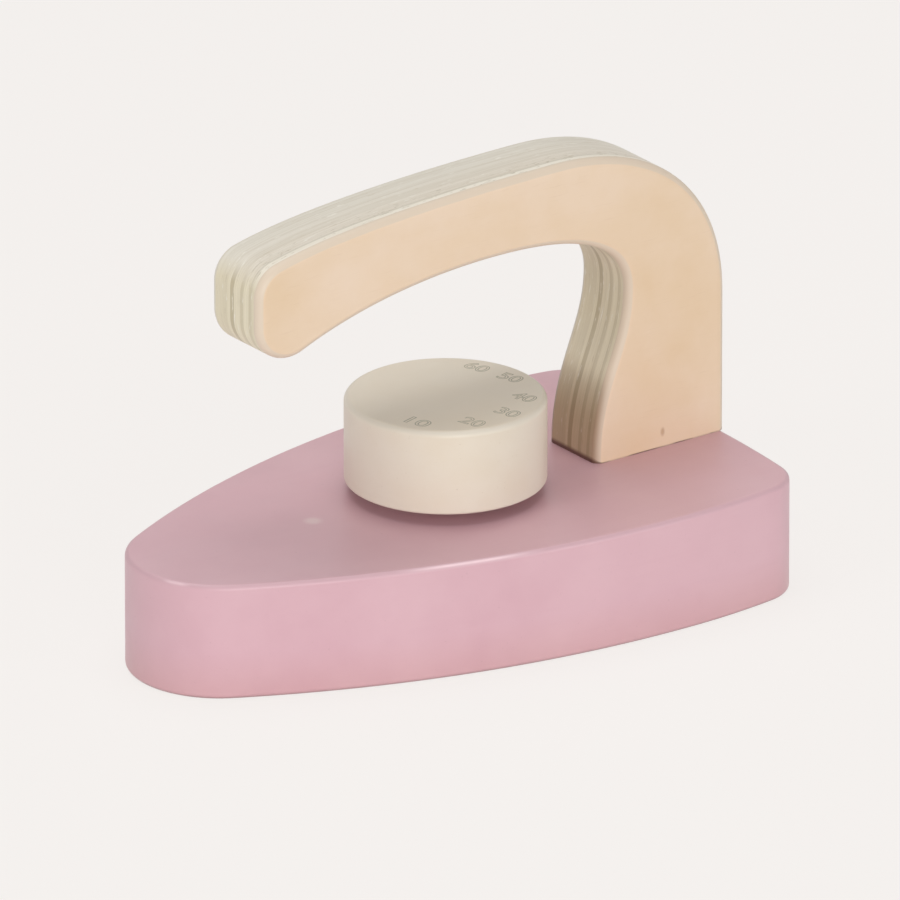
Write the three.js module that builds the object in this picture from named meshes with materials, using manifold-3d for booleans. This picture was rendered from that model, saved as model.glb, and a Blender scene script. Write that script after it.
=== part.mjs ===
// Toy iron: a painted wooden block, a curved plywood handle screwed on from below, and a dial that turns.
// Millimetres, +Z up. The block's underside lies on z = 0, and the whole length has its middle at x = 0.
// The nose of the iron points along -X, and the heel, where the handle stands, along +X.

import * as THREE from 'three';
import { mergeVertices } from 'three/addons/utils/BufferGeometryUtils.js';
import Module from 'manifold-3d';

const wasm = await Module();
wasm.setup();

// Block
const blockLength = 152.3;
const blockWidth = 90;
const blockHeight = 27;
const noseRadius = 20.9;
const widestBehindMiddle = 41.45;
const rearSideRadius = 150;
const blockCornerRadius = 11.4;
const heelRadius = 300;
const blockEdgeRadius = 1.2;

// Handle: the crown is the highest point of its back, and the arch the highest point under the grip
const handleThickness = 18;
const handleRise = 73.5;
const handleEdgeRadius = 2;
const handleOverhang = 0.5;
const footDepth = 35.7;
const throatDepth = 26.9;
const crownFromRear = 45.4;
const archFromRear = 61.4;
const archBelowCrown = 18;
const gripNoseInset = 25.1;
const gripNoseBelowCrown = 13.2;
const gripNoseFlat = 6.3;
const gripTopRadius = 7.5;
const gripBottomRadius = 9;
const gripTopSlope = THREE.MathUtils.degToRad(15);
const gripBottomSlope = THREE.MathUtils.degToRad(23);
// Where the leg's straight back ends, as a share of the crown's height above the block
const rearStraightShare = 0.449;
// Where the leg is narrowest, as a share of the arch's height above the block
const throatShare = 0.713;
// Arms of the curves, as shares of the distance between each curve's ends
const rearCurveShares = [0.424, 0.432];
const topCurveShares = [0.404, 0.2];
const gripUnderShares = [0.246, 0.419];
const throatCurveShares = [0.841, 0.145];
const legFrontShares = [0.346, 0.469];

// Dial
const dialRadius = 22.5;
const dialHeight = 19.7;
const dialToLeg = 12.2;
const dialTopRadius = 2.5;
const dialBottomRadius = 0.6;

// Washers of the dial
const spacerThickness = 2.4;
const spacerRadius = 9;
const thrustWasherThickness = 1;
const thrustWasherRadius = 5.5;

// Screws and the plugs that cover them
const screwRadius = 2.25;
const screwHeadRadius = 4.4;
const screwHeadHeight = 2.9;
const screwHeadRounding = 1.2;
const screwTipLength = 5;
const screwTipRadius = 0.5;
const recessWidth = 1;
const recessSpan = 4.6;
const recessDepth = 1.4;
const handleScrewGrip = 22;
const handleScrewSpacing = 14;
const handleScrewInset = 8.5;
const dialScrewGrip = 14.6;
const plugThickness = 4.5;

// Fits
const runningGap = 0.2;
const fitGap = 0.15;
const shankGap = 0.35;
const boreGap = 0.6;
const plugGap = 1.6;
const tipGap = 1;
const cutOverrun = 2;

// Facets
const outlineFacets = 7;
const handleFacets = 14;
const edgeFacets = 3;
const dialFacets = 72;
const smallFacets = 28;

const painted = new THREE.MeshStandardMaterial({ color: 0xd9afb8, roughness: 0.5, metalness: 0 });
const plywood = new THREE.MeshStandardMaterial({ color: 0xe4cbb0, roughness: 0.55, metalness: 0 });
const creamPaint = new THREE.MeshStandardMaterial({ color: 0xdfd2bc, roughness: 0.5, metalness: 0 });
const steel = new THREE.MeshStandardMaterial({ color: 0xb9bcc0, roughness: 0.35, metalness: 1 });
const nylon = new THREE.MeshStandardMaterial({ color: 0xe9e6de, roughness: 0.5, metalness: 0 });

function toSolid(geometry) {
  const bare = geometry.clone();
  bare.deleteAttribute('normal');
  bare.deleteAttribute('uv');
  const merged = mergeVertices(bare);
  const corners = [];
  for (let i = 0; i < merged.index.count; i += 3) {
    const [a, b, c] = [0, 1, 2].map((k) => merged.index.getX(i + k));
    if (a !== b && b !== c && c !== a) corners.push(a, b, c);
  }
  const vertProperties = new Float32Array(merged.attributes.position.array);
  const triVerts = new Uint32Array(corners);
  return new wasm.Manifold(new wasm.Mesh({ numProp: 3, vertProperties, triVerts }));
}

function toGeometry(solid) {
  const mesh = solid.getMesh();
  const geometry = new THREE.BufferGeometry();
  geometry.setAttribute('position', new THREE.BufferAttribute(mesh.vertProperties, mesh.numProp));
  geometry.setIndex(new THREE.BufferAttribute(mesh.triVerts, 1));
  geometry.computeVertexNormals();
  return geometry;
}

// A round piece turned about Z from [radius, height] points, from its bottom up to its top.
function turned(profile, facets) {
  const points = profile.map(([radius, height]) => new THREE.Vector2(radius, height));
  return new THREE.LatheGeometry(points, facets).rotateX(Math.PI / 2);
}

// Points of a quarter round between two directions, for a turned profile.
function quarterRound(centreRadius, centreHeight, radius, startAngle) {
  return Array.from({ length: edgeFacets + 1 }, (_, i) => {
    const angle = startAngle + (i / edgeFacets) * Math.PI / 2;
    return [centreRadius + radius * Math.cos(angle), centreHeight + radius * Math.sin(angle)];
  });
}

// A straight round cutter along Z.
function drill(radius, bottom, top, x) {
  const geometry = new THREE.CylinderGeometry(radius, radius, top - bottom, smallFacets);
  return toSolid(geometry.rotateX(Math.PI / 2).translate(x, 0, (bottom + top) / 2));
}

function direction(angle) {
  return new THREE.Vector2(Math.cos(angle), Math.sin(angle));
}

function addMesh(group, name, geometry, material) {
  const mesh = new THREE.Mesh(geometry, material);
  mesh.name = name;
  group.add(mesh);
  return mesh;
}

const handleRearX = (blockLength + handleOverhang) / 2;
const heelX = handleRearX - handleOverhang;
const noseX = heelX - blockLength;
const footFrontX = handleRearX - footDepth;
const footMiddleX = handleRearX - footDepth / 2;
const dialX = footFrontX - dialToLeg - dialRadius;
const dialBottom = blockHeight + spacerThickness + runningGap;
const plugBoreRadius = screwHeadRadius + boreGap;
const plugRadius = plugBoreRadius - fitGap;
const shankBoreRadius = screwRadius + shankGap;
const rearScrewX = handleRearX - handleScrewInset;
const handleScrewXs = [rearScrewX - handleScrewSpacing, rearScrewX];
const screwHeadTop = plugThickness + plugGap + screwHeadHeight;
const handleScrewLength = blockHeight + handleScrewGrip - screwHeadTop;
const dialScrewSeat = screwHeadTop + runningGap + thrustWasherThickness;
const dialScrewLength = dialBottom + dialScrewGrip - screwHeadTop;

// Arcs of one side of the block's outline, from the nose round to the heel, each tangent to the next.
function blockSideArcs() {
  const halfWidth = blockWidth / 2;
  const nose = new THREE.Vector2(noseX + noseRadius, 0);
  const run = widestBehindMiddle - nose.x;
  const sideRadius = (run ** 2 + halfWidth ** 2 - noseRadius ** 2) / (2 * (halfWidth - noseRadius));
  const side = new THREE.Vector2(widestBehindMiddle, sideRadius - halfWidth);
  const rearSide = new THREE.Vector2(widestBehindMiddle, rearSideRadius - halfWidth);
  const heel = new THREE.Vector2(heelX - heelRadius, 0);
  const heelReach = heelRadius - blockCornerRadius;
  const sideReach = rearSideRadius - blockCornerRadius;
  const across = rearSide.clone().sub(heel);
  const spread = across.length();
  const along = (heelReach ** 2 - sideReach ** 2 + spread ** 2) / (2 * spread);
  const aside = Math.sqrt(heelReach ** 2 - along ** 2);
  across.divideScalar(spread);
  const turnedAcross = new THREE.Vector2(across.y, -across.x);
  const corner = heel.clone().addScaledVector(across, along).addScaledVector(turnedAcross, aside);
  const noseEnd = 2 * Math.PI + Math.atan2(nose.y - side.y, nose.x - side.x);
  const cornerStart = 2 * Math.PI + Math.atan2(corner.y - rearSide.y, corner.x - rearSide.x);
  const cornerEnd = 2 * Math.PI + Math.atan2(corner.y - heel.y, corner.x - heel.x);
  return [
    [nose, noseRadius, Math.PI, noseEnd],
    [side, sideRadius, noseEnd, 1.5 * Math.PI],
    [rearSide, rearSideRadius, 1.5 * Math.PI, cornerStart],
    [corner, blockCornerRadius, cornerStart, cornerEnd],
    [heel, heelRadius, cornerEnd, 2 * Math.PI],
  ];
}

function blockOutline() {
  const shape = new THREE.Shape();
  const arcs = blockSideArcs();
  for (const [centre, radius, from, to] of arcs) {
    shape.absarc(centre.x, centre.y, radius, from, to, false);
  }
  for (const [centre, radius, from, to] of arcs.reverse()) {
    shape.absarc(centre.x, -centre.y, radius, -to, -from, false);
  }
  return shape;
}

function makeBlock() {
  const body = new THREE.ExtrudeGeometry(blockOutline(), {
    depth: blockHeight - 2 * blockEdgeRadius,
    curveSegments: outlineFacets,
    bevelThickness: blockEdgeRadius,
    bevelSize: blockEdgeRadius,
    bevelOffset: -blockEdgeRadius,
    bevelSegments: edgeFacets,
  }).translate(0, 0, blockEdgeRadius);
  const boreTop = blockHeight + cutOverrun;
  let solid = toSolid(body);
  for (const x of handleScrewXs) {
    solid = solid.subtract(drill(plugBoreRadius, -cutOverrun, screwHeadTop, x));
    solid = solid.subtract(drill(shankBoreRadius, screwHeadTop - cutOverrun, boreTop, x));
  }
  solid = solid.subtract(drill(thrustWasherRadius + fitGap, -cutOverrun, dialScrewSeat, dialX));
  solid = solid.subtract(drill(shankBoreRadius, dialScrewSeat - cutOverrun, boreTop, dialX));
  return toGeometry(solid);
}

// Adds a curve that leaves the pen's place at one angle and reaches its end at another.
function curveTo(shape, angleOut, end, angleIn, shares) {
  const start = shape.currentPoint;
  const chord = start.distanceTo(end);
  const first = start.clone().addScaledVector(direction(angleOut), chord * shares[0]);
  const second = end.clone().addScaledVector(direction(angleIn), -chord * shares[1]);
  shape.bezierCurveTo(...first, ...second, ...end);
}

// Side view of the handle, X along and height up, run past the foot so that the foot can be cut flat.
function handleOutline() {
  const up = Math.PI / 2;
  const footRun = blockHeight - handleEdgeRadius - cutOverrun;
  const crown = new THREE.Vector2(handleRearX - crownFromRear, blockHeight + handleRise);
  const arch = new THREE.Vector2(handleRearX - archFromRear, crown.y - archBelowCrown);
  const throatHeight = blockHeight + throatShare * (arch.y - blockHeight);
  const throat = new THREE.Vector2(handleRearX - throatDepth, throatHeight);
  const footFront = new THREE.Vector2(footFrontX, blockHeight);
  const gripNoseX = noseX + gripNoseInset;
  const topCentre = new THREE.Vector2(gripNoseX + gripTopRadius, crown.y - gripNoseBelowCrown);
  const bottomCentre = new THREE.Vector2(gripNoseX + gripBottomRadius, topCentre.y - gripNoseFlat);
  const topStart = up + gripTopSlope;
  const bottomEnd = Math.PI + up + gripBottomSlope;
  const noseTopEnd = topCentre.clone().addScaledVector(direction(topStart), gripTopRadius);
  const shape = new THREE.Shape();
  shape.moveTo(footFrontX, footRun);
  shape.lineTo(handleRearX, footRun);
  shape.lineTo(handleRearX, blockHeight + rearStraightShare * handleRise);
  curveTo(shape, up, crown, Math.PI, rearCurveShares);
  curveTo(shape, Math.PI, noseTopEnd, Math.PI + gripTopSlope, topCurveShares);
  shape.absarc(topCentre.x, topCentre.y, gripTopRadius, topStart, Math.PI, false);
  shape.absarc(bottomCentre.x, bottomCentre.y, gripBottomRadius, Math.PI, bottomEnd, false);
  curveTo(shape, gripBottomSlope, arch, 0, gripUnderShares);
  curveTo(shape, 0, throat, -up, throatCurveShares);
  curveTo(shape, -up, footFront, -up, legFrontShares);
  return shape;
}

function makeHandle() {
  const board = new THREE.ExtrudeGeometry(handleOutline(), {
    depth: handleThickness - 2 * handleEdgeRadius,
    curveSegments: handleFacets,
    bevelThickness: handleEdgeRadius,
    bevelSize: handleEdgeRadius,
    bevelOffset: -handleEdgeRadius,
    bevelSegments: edgeFacets,
  });
  board.translate(0, 0, handleEdgeRadius - handleThickness / 2).rotateX(Math.PI / 2);
  const cutWidth = handleThickness + 2 * cutOverrun;
  const footCut = new THREE.BoxGeometry(footDepth + 2 * cutOverrun, cutWidth, blockHeight);
  footCut.translate(footMiddleX, 0, blockHeight / 2);
  let solid = toSolid(board).subtract(toSolid(footCut));
  const pilotTop = blockHeight + handleScrewGrip + tipGap;
  for (const x of handleScrewXs) {
    solid = solid.subtract(drill(screwRadius + fitGap, blockHeight - cutOverrun, pilotTop, x));
  }
  return toGeometry(solid);
}

// A pan head screw standing head down, its head's bearing face at height zero and its tip up.
function makeScrew(length) {
  const rounding = quarterRound(
    screwHeadRadius - screwHeadRounding,
    screwHeadRounding - screwHeadHeight,
    screwHeadRounding,
    -Math.PI / 2,
  );
  const body = turned([
    [0, -screwHeadHeight],
    ...rounding,
    [screwHeadRadius, 0],
    [screwRadius, 0],
    [screwRadius, length - screwTipLength],
    [screwTipRadius, length],
    [0, length],
  ], smallFacets);
  const slot = new THREE.BoxGeometry(recessSpan, recessWidth, recessDepth + cutOverrun);
  slot.translate(0, 0, -screwHeadHeight + (recessDepth - cutOverrun) / 2);
  const crossSlot = slot.clone().rotateZ(Math.PI / 2);
  return toGeometry(toSolid(body).subtract(toSolid(slot)).subtract(toSolid(crossSlot)));
}

function makeRing(outerRadius, innerRadius, thickness) {
  const corners = [[innerRadius, 0], [outerRadius, 0], [outerRadius, thickness], [innerRadius, thickness]];
  return turned([...corners, corners[0]], smallFacets);
}

function makePlug(radius) {
  return new THREE.CylinderGeometry(radius, radius, plugThickness, smallFacets)
    .rotateX(Math.PI / 2)
    .translate(0, 0, plugThickness / 2);
}

// The dial with its bottom at height zero and a blind bore for its screw.
function makeDial() {
  const boreRadius = screwRadius + fitGap;
  const boreDepth = dialScrewGrip + tipGap;
  return turned([
    [0, boreDepth],
    [boreRadius, boreDepth],
    [boreRadius, 0],
    ...quarterRound(dialRadius - dialBottomRadius, dialBottomRadius, dialBottomRadius, -Math.PI / 2),
    ...quarterRound(dialRadius - dialTopRadius, dialHeight - dialTopRadius, dialTopRadius, 0),
    [0, dialHeight],
  ], dialFacets);
}

const toyIron = new THREE.Group();
toyIron.name = 'toy_iron';

addMesh(toyIron, 'base_block', makeBlock(), painted);
addMesh(toyIron, 'handle', makeHandle(), plywood);
['front', 'rear'].forEach((place, i) => {
  addMesh(toyIron, `handle_screw_${place}`, makeScrew(handleScrewLength), steel)
    .position.set(handleScrewXs[i], 0, screwHeadTop);
  addMesh(toyIron, `handle_screw_plug_${place}`, makePlug(plugRadius), painted)
    .position.set(handleScrewXs[i], 0, 0);
});

const dialStack = new THREE.Group();
dialStack.name = 'dial_stack';
dialStack.position.x = dialX;
toyIron.add(dialStack);
const spacer = makeRing(spacerRadius, shankBoreRadius, spacerThickness);
const thrustWasher = makeRing(thrustWasherRadius, shankBoreRadius, thrustWasherThickness);
addMesh(dialStack, 'dial', makeDial(), creamPaint).position.z = dialBottom;
addMesh(dialStack, 'dial_spacer', spacer, nylon).position.z = blockHeight;
addMesh(dialStack, 'dial_screw', makeScrew(dialScrewLength), steel).position.z = screwHeadTop;
addMesh(dialStack, 'dial_thrust_washer', thrustWasher, steel)
  .position.z = dialScrewSeat - thrustWasherThickness;
addMesh(dialStack, 'dial_screw_plug', makePlug(thrustWasherRadius), painted);

export default toyIron;
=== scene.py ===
# Toy iron: a pink painted block, a birch plywood handle and a cream dial that turns.
# Metres, +Z up. The nose points along -X and the near side of the block faces -Y.

import math

import bmesh
import bpy
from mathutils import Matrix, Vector


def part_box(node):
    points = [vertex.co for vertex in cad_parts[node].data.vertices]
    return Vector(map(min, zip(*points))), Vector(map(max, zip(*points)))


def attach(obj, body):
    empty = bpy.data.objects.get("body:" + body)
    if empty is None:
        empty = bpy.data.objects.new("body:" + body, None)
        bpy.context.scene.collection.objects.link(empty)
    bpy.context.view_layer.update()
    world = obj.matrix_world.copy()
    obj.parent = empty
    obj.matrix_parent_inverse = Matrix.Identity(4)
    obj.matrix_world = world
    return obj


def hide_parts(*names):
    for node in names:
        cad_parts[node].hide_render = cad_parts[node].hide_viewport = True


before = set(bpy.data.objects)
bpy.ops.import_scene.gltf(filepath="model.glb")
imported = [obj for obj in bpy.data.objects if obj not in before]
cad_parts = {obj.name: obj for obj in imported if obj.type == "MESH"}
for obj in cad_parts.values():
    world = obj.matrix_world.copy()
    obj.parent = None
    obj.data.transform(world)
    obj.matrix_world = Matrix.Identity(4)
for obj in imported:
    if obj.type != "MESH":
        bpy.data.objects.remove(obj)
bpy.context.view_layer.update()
mm = 0.001
close = 0.01 * mm                    # points nearer than this count as one
print("frame loaded:", ", ".join(sorted(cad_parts)))


# Modelling helpers

def selectOnly(piece):
    bpy.ops.object.select_all(action="DESELECT")
    piece.select_set(True)
    bpy.context.view_layer.objects.active = piece


def startEdit(piece):
    selectOnly(piece)
    bpy.ops.object.mode_set(mode="EDIT")
    bpy.ops.mesh.select_mode(type="VERT")


def endEdit():
    bpy.ops.object.mode_set(mode="OBJECT")


def pick(piece, kind, wanted):
    # selects the edges or faces that pass the test, and nothing else
    bpy.ops.mesh.select_mode(type={"edges": "EDGE", "faces": "FACE"}[kind])
    bpy.ops.mesh.select_all(action="DESELECT")
    shape = bmesh.from_edit_mesh(piece.data)
    for part in getattr(shape, kind):
        part.select_set(wanted(part))
    shape.select_flush_mode()
    bmesh.update_edit_mesh(piece.data)


def extrude(step):
    bpy.ops.mesh.extrude_region_move(TRANSFORM_OT_translate={"value": step})


def mergeWithin(distance):
    bpy.ops.mesh.select_all(action="SELECT")
    bpy.ops.mesh.remove_doubles(threshold=distance)


def faceOutwards():
    bpy.ops.mesh.select_all(action="SELECT")
    bpy.ops.mesh.normals_make_consistent(inside=False)


def allAt(axis, place):
    # a test for edges and faces that lie wholly in one plane
    return lambda part: all(abs(corner.co[axis] - place) < close for corner in part.verts)


def onAny(tests):
    # a test that passes where any of the tests does
    return lambda part: any(test(part) for test in tests)


def applyModifier(piece, kind, **settings):
    selectOnly(piece)
    modifier = piece.modifiers.new(kind.title(), kind)
    for name, value in settings.items():
        setattr(modifier, name, value)
    bpy.ops.object.modifier_apply(modifier=modifier.name)


def smooth(piece, angle=35):
    selectOnly(piece)
    bpy.ops.object.shade_smooth_by_angle(angle=math.radians(angle))
    applyModifier(piece, "WEIGHTED_NORMAL", keep_sharp=True, weight=100)


def towards(angle):
    return Vector((math.cos(angle), math.sin(angle)))


def addCylinder(name, radius, bottom, top, centre, sides):
    bpy.ops.object.select_all(action="DESELECT")
    middle = (centre[0], centre[1], (bottom + top) / 2)
    bpy.ops.mesh.primitive_cylinder_add(vertices=sides, radius=radius, depth=top - bottom, location=middle)
    bpy.ops.object.transform_apply(location=True)
    piece = bpy.context.object
    piece.name = name
    return piece


def cutRound(piece, radius, bottom, top, centre, sides=64):
    cutter = addCylinder("cutter", radius, bottom, top, centre, sides)
    applyModifier(piece, "BOOLEAN", object=cutter, operation="DIFFERENCE", solver="EXACT")
    bpy.data.objects.remove(cutter)


def bevelEdges(piece, wanted, width, steps):
    startEdit(piece)
    pick(piece, "edges", wanted)
    bpy.ops.mesh.bevel(offset=width, segments=steps, profile=0.5, affect="EDGES", clamp_overlap=False)
    endEdit()


def dress(piece, material, slot, body, *nodes):
    # gives a finished piece its material, its body and the CAD nodes that it stands for
    piece.data.materials.clear()
    piece.data.materials.append(material)
    piece.data.name = piece.name
    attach(piece, body)
    if nodes:
        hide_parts(*nodes)


# Material helpers

def srgb(red, green, blue):
    # a colour as seen on screen, 0 to 255, as the linear colour that Blender wants
    shares = [value / 255 for value in (red, green, blue)]
    return [value / 12.92 if value <= 0.04045 else ((value + 0.055) / 1.055) ** 2.4 for value in shares] + [1]


def newMaterial(name, **settings):
    material = bpy.data.materials.new(name)
    material.use_nodes = True
    shader = material.node_tree.nodes["Principled BSDF"]
    for socket, value in settings.items():
        shader.inputs[socket.replace("_", " ")].default_value = value
    return material, shader


def addNode(material, kind, settings=None, **inputs):
    # adds a node, sets its fields, and sets or links its input sockets, by name or as s0, s1 and so on
    node = material.node_tree.nodes.new(kind)
    for field, value in (settings or {}).items():
        setattr(node, field, value)
    for socket, value in inputs.items():
        place = int(socket[1:]) if socket[1:].isdigit() else socket.replace("_", " ")
        target = node.inputs[place]
        if isinstance(value, bpy.types.NodeSocket):
            material.node_tree.links.new(value, target)
        else:
            target.default_value = value
    return node


def stretched(material, coordinates, scale):
    return addNode(material, "ShaderNodeMapping", Vector=coordinates, Scale=scale).outputs["Vector"]


def noise(material, place, scale, detail, roughness=0.5, distortion=0):
    # scale is in shapes per metre, either one number or one each along X, Y and Z
    if isinstance(scale, tuple):
        place, scale = stretched(material, place, scale), 1
    node = addNode(material, "ShaderNodeTexNoise", Vector=place, Scale=scale, Detail=detail,
                   Roughness=roughness, Distortion=distortion)
    return node.outputs["Fac"]


def ramp(material, factor, stops, interpolation="LINEAR"):
    # stops are (position, grey) from low to high
    node = addNode(material, "ShaderNodeValToRGB", Fac=factor)
    node.color_ramp.interpolation = interpolation
    elements = node.color_ramp.elements
    while len(elements) < len(stops):
        elements.new(1)
    for element, (position, grey) in zip(elements, stops):
        element.position = position
        element.color = (grey, grey, grey, 1)
    return node.outputs["Color"]


def shown(material, pattern, start, full, share=1.0):
    # none of a pattern up to the level start, and its whole share from the level full on
    return ramp(material, pattern, [(start, 0.0), (full, share)])


def mixColours(material, factor, first, second, blend="MIX"):
    settings = {"data_type": "RGBA", "blend_type": blend}
    node = addNode(material, "ShaderNodeMix", settings, s0=factor, s6=first, s7=second)
    return node.outputs[2]


def maths(material, operation, first, second=0.0):
    return addNode(material, "ShaderNodeMath", {"operation": operation}, s0=first, s1=second).outputs[0]


def fade(material, value, zero, one):
    # 0 where the value is at zero or past it, 1 where it is at one or past it
    node = addNode(material, "ShaderNodeMapRange", Value=value, s1=zero, s2=one)
    return node.outputs["Result"]


def addBump(material, shader, height, strength, distance, below=None):
    node = addNode(material, "ShaderNodeBump", Height=height, Strength=strength, Distance=distance)
    if below is not None:
        material.node_tree.links.new(below, node.inputs["Normal"])
    material.node_tree.links.new(node.outputs["Normal"], shader.inputs["Normal"])
    return node.outputs["Normal"]


def connect(material, output, shader, socket):
    material.node_tree.links.new(output, shader.inputs[socket])


def setRoughness(material, shader, pattern, roughness, levels=(0.3, 0.7)):
    connect(material, ramp(material, pattern, list(zip(levels, roughness))), shader, "Roughness")


def objectCoordinates(material):
    return addNode(material, "ShaderNodeTexCoord").outputs["Object"]


def axesOf(material, vector):
    return addNode(material, "ShaderNodeSeparateXYZ", Vector=vector).outputs


def surfaceDirection(material):
    return axesOf(material, addNode(material, "ShaderNodeTexCoord").outputs["Normal"])


# Camera: placed where the photograph was taken from, far off with a long lens

cameraSizes = {
    "azimuth": math.radians(-36.243),
    "elevation": math.radians(22.105),
    "distance": 6850 * mm,
    "aimRight": 5.819 * mm,          # how far the aim lies to the right of the origin
    "aimUp": 34.686 * mm,            # and above it
    "seenWidth": 198.94 * mm,        # width of the picture at the origin
    "sensorWidth": 36,
    "farthestSeen": 100,
}


def aimedAt(turn, lift):
    # the direction from the origin at this azimuth from the near side and this elevation
    return Vector((math.sin(turn) * math.cos(lift), -math.cos(turn) * math.cos(lift), math.sin(lift)))


def makeCamera():
    sizes = cameraSizes
    turn, lift = sizes["azimuth"], sizes["elevation"]
    back = aimedAt(turn, lift)
    right = Vector((math.cos(turn), math.sin(turn), 0))
    up = back.cross(right)
    place = back * sizes["distance"] + right * sizes["aimRight"] + up * sizes["aimUp"]
    bpy.ops.object.camera_add(location=place)
    camera = bpy.context.object
    camera.rotation_mode = "QUATERNION"
    camera.rotation_quaternion = back.to_track_quat("Z", "Y")
    camera.data.sensor_width = sizes["sensorWidth"]
    camera.data.lens = sizes["sensorWidth"] * sizes["distance"] / sizes["seenWidth"]
    camera.data.clip_end = sizes["farthestSeen"]
    bpy.context.scene.camera = camera


makeCamera()
print("camera placed")


# Block: its outline is spun arc by arc, mirrored, filled, pulled up and rounded

blockLow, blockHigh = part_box("base_block")
blockSizes = {
    "noseRadius": 20.9 * mm,
    "widestPlace": 41.45 * mm,       # along X, where the block is widest
    "rearSideRadius": 150 * mm,
    "cornerRadius": 11.4 * mm,
    "heelRadius": 300 * mm,
    "edgeRadius": 1.2 * mm,
    "edgeSteps": 5,
    "arcStep": 1.2 * mm,             # length of one straight step round the outline
    "leastSteps": 10,                # and how many steps an arc has at least
}
boreSizes = {
    "plugFit": 0.15 * mm,
    "headHeight": 2.9 * mm,          # of all three screws
    "washerHeight": 1.2 * mm,        # thrust washer with its running gap
    "shankRadius": 2.6 * mm,
    "pilotRadius": 2.4 * mm,
    "tipGap": 1 * mm,                # free depth past the screw's tip
    "overrun": 2 * mm,               # how far a cutter reaches past what it cuts
}


def blockArcs():
    # centre, radius, start and end angle of each arc, from the nose tip round the near side to the heel
    sizes = blockSizes
    halfWidth = (blockHigh.y - blockLow.y) / 2
    nose = Vector((blockLow.x + sizes["noseRadius"], 0))
    noseRadius, widest = sizes["noseRadius"], sizes["widestPlace"]
    run = widest - nose.x
    sideRadius = (run ** 2 + halfWidth ** 2 - noseRadius ** 2) / (2 * (halfWidth - noseRadius))
    side = Vector((widest, sideRadius - halfWidth))
    rearSide = Vector((widest, sizes["rearSideRadius"] - halfWidth))
    heel = Vector((blockHigh.x - sizes["heelRadius"], 0))
    heelReach = sizes["heelRadius"] - sizes["cornerRadius"]
    sideReach = sizes["rearSideRadius"] - sizes["cornerRadius"]
    across = rearSide - heel
    spread = across.length
    along = (heelReach ** 2 - sideReach ** 2 + spread ** 2) / (2 * spread)
    aside = math.sqrt(heelReach ** 2 - along ** 2)
    across.normalize()
    corner = heel + across * along + Vector((across.y, -across.x)) * aside
    full = 2 * math.pi
    noseEnd = full + math.atan2(nose.y - side.y, nose.x - side.x)
    cornerStart = full + math.atan2(corner.y - rearSide.y, corner.x - rearSide.x)
    cornerEnd = full + math.atan2(corner.y - heel.y, corner.x - heel.x)
    return [
        (nose, noseRadius, math.pi, noseEnd),
        (side, sideRadius, noseEnd, 0.75 * full),
        (rearSide, sizes["rearSideRadius"], 0.75 * full, cornerStart),
        (corner, sizes["cornerRadius"], cornerStart, cornerEnd),
        (heel, sizes["heelRadius"], cornerEnd, full),
    ]


def makeBlock():
    bottom, top = blockLow.z, blockHigh.z
    bpy.ops.object.select_all(action="DESELECT")
    bpy.ops.mesh.primitive_plane_add(size=1 * mm, location=(blockLow.x, 0, bottom))
    bpy.ops.object.transform_apply(location=True)
    block = bpy.context.object
    block.name = "iron_block"
    startEdit(block)
    bpy.ops.mesh.merge(type="CENTER")
    reached = Vector((blockLow.x, 0))
    for centre, radius, start, end in blockArcs():
        straight = centre + towards(start) * radius - reached
        if straight.length > close:
            extrude((straight.x, straight.y, 0))
        steps = max(blockSizes["leastSteps"], round(radius * (end - start) / blockSizes["arcStep"]))
        bpy.ops.mesh.spin(steps=steps, angle=start - end, center=(centre.x, centre.y, bottom), axis=(0, 0, 1))
        reached = centre + towards(end) * radius
    endEdit()
    applyModifier(block, "MIRROR", use_axis=(False, True, False), merge_threshold=close)
    startEdit(block)
    mergeWithin(close)
    bpy.ops.mesh.edge_face_add()
    extrude((0, 0, top - bottom))
    faceOutwards()
    endEdit()
    rims = onAny([allAt(2, bottom), allAt(2, top)])
    bevelEdges(block, rims, blockSizes["edgeRadius"], blockSizes["edgeSteps"])
    for screw, plug, room in (
        ("handle_screw_front", "handle_screw_plug_front", 0),
        ("handle_screw_rear", "handle_screw_plug_rear", 0),
        ("dial_screw", "dial_screw_plug", boreSizes["washerHeight"]),
    ):
        low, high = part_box(screw)
        plugLow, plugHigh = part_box(plug)
        centre, overrun = (low + high) / 2, boreSizes["overrun"]
        seat = low.z + boreSizes["headHeight"] + room
        radius = (plugHigh.x - plugLow.x) / 2 + boreSizes["plugFit"]
        cutRound(block, radius, bottom - overrun, seat, centre)
        cutRound(block, boreSizes["shankRadius"], seat - overrun, top + overrun, centre)
    smooth(block)
    return block


block = makeBlock()
print("block made:", len(block.data.polygons), "faces")


# Handle: its side view is drawn as one closed curve, filled, pulled out to the board's thickness and rounded

handleLow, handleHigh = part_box("handle")
handleSizes = {
    "footDepth": 35.7 * mm,
    "throatDepth": 26.9 * mm,
    "crownFromRear": 45.4 * mm,
    "archFromRear": 61.4 * mm,
    "archBelowCrown": 18 * mm,
    "noseBelowCrown": 13.2 * mm,
    "noseFlat": 6.3 * mm,
    "noseTopRadius": 7.5 * mm,
    "noseBottomRadius": 9 * mm,
    "topSlope": math.radians(15),
    "bottomSlope": math.radians(23),
    "rearStraightShare": 0.449,      # of the crown's height above the block
    "throatShare": 0.713,            # of the arch's height above the block
    "rearShares": (0.424, 0.432),    # arms of each curve, as shares of the way between its ends
    "topShares": (0.404, 0.2),
    "underShares": (0.246, 0.419),
    "throatShares": (0.841, 0.145),
    "legShares": (0.346, 0.469),
    "edgeRadius": 2 * mm,
    "edgeSteps": 8,
    "curveSteps": 32,
    "footRun": 8 * mm,               # drawn past the foot, then cut off flat
    "mergeWithin": 0.02 * mm,
    "cutWithin": 0.001 * mm,
}


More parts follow.
